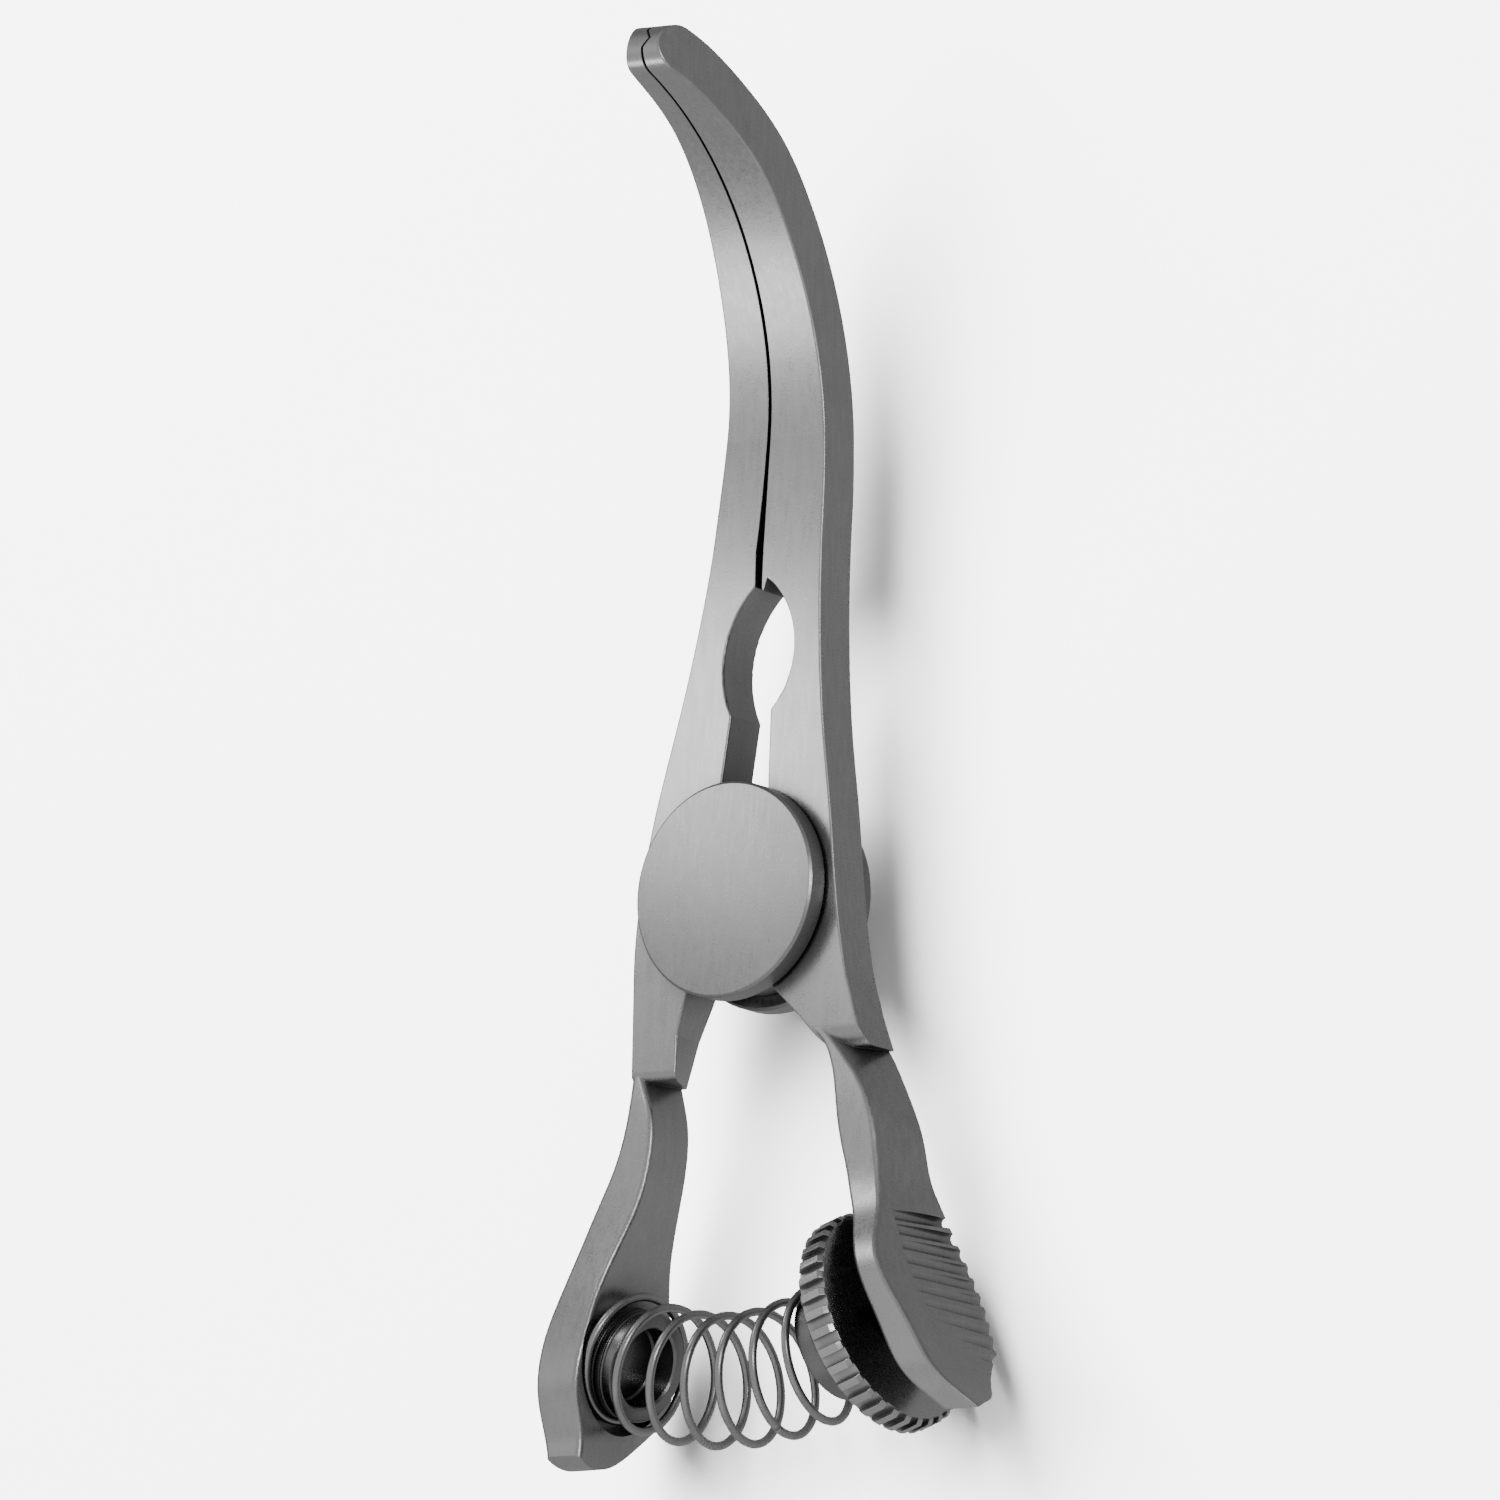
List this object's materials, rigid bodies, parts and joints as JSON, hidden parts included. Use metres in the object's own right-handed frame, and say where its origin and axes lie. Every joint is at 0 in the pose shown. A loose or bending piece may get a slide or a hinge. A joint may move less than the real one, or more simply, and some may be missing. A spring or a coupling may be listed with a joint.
{
  "type": "adjustable bulldog vessel clamp",
  "caption": "Curved-jaw bulldog clamp of stainless steel: crossed arms on a large round pivot, thumb pads pushed apart by a coil spring, and a knurled wheel that sets its force.",
  "frame": {"origin": "centre of the back pivot disc's outer face, on the pivot axis", "axes": "+Z along the pivot axis, towards the front disc and the side that the jaws curve to; +Y along the straight part of the jaws, away from the handles; +X from the left arm to the arm with the adjusting wheel"},
  "size_m": [0.0295, 0.0774, 0.0206],
  "materials": {
    "arm_steel": "satin",
    "pivot_steel": "brushed across the face",
    "turned_steel": "turned",
    "wheel_steel": "knurled",
    "spring_wire": "drawn wire"
  },
  "bodies": {
    "fixed_arm": {"right_arm": "arm_steel", "front_pivot_disc": "pivot_steel", "rear_pivot_disc": "pivot_steel", "pivot_pin": "pivot_steel", "adjusting_stud": "turned_steel", "stud_stop_ring": "turned_steel"},
    "moving_arm": {"left_arm": "arm_steel", "left_spring_post": "turned_steel", "return_spring": "spring_wire"},
    "spring_seat": {"spring_cup": "turned_steel", "thrust_washer": "turned_steel"},
    "wheel": {"adjusting_wheel": "wheel_steel"}
  },
  "joints": [
    {"name": "jaw_pivot", "type": "hinge", "parent": "fixed_arm", "child": "moving_arm", "pos_m": [0, 0, 0.00278], "axis": [0, 0, 1], "range_deg": [0, 14], "stiffness_Nm_per_rad": 0.2, "springref_deg": -20.05, "deforming": ["return_spring"]},
    {"name": "wheel_travel", "type": "slide", "parent": "fixed_arm", "child": "spring_seat", "axis": [0.9455, 0.3256, 0], "range_m": [-0.00125, 0.00025]},
    {"name": "wheel_spin", "type": "hinge", "parent": "spring_seat", "child": "wheel", "pos_m": [0.01043, -0.02409, 0.00278], "axis": [0.9455, 0.3256, 0], "range_deg": [-902, 182]}
  ],
  "couplings": [
    {"joint": "wheel_spin", "follows": "wheel_travel", "rad_per_m": 12566}
  ]
}
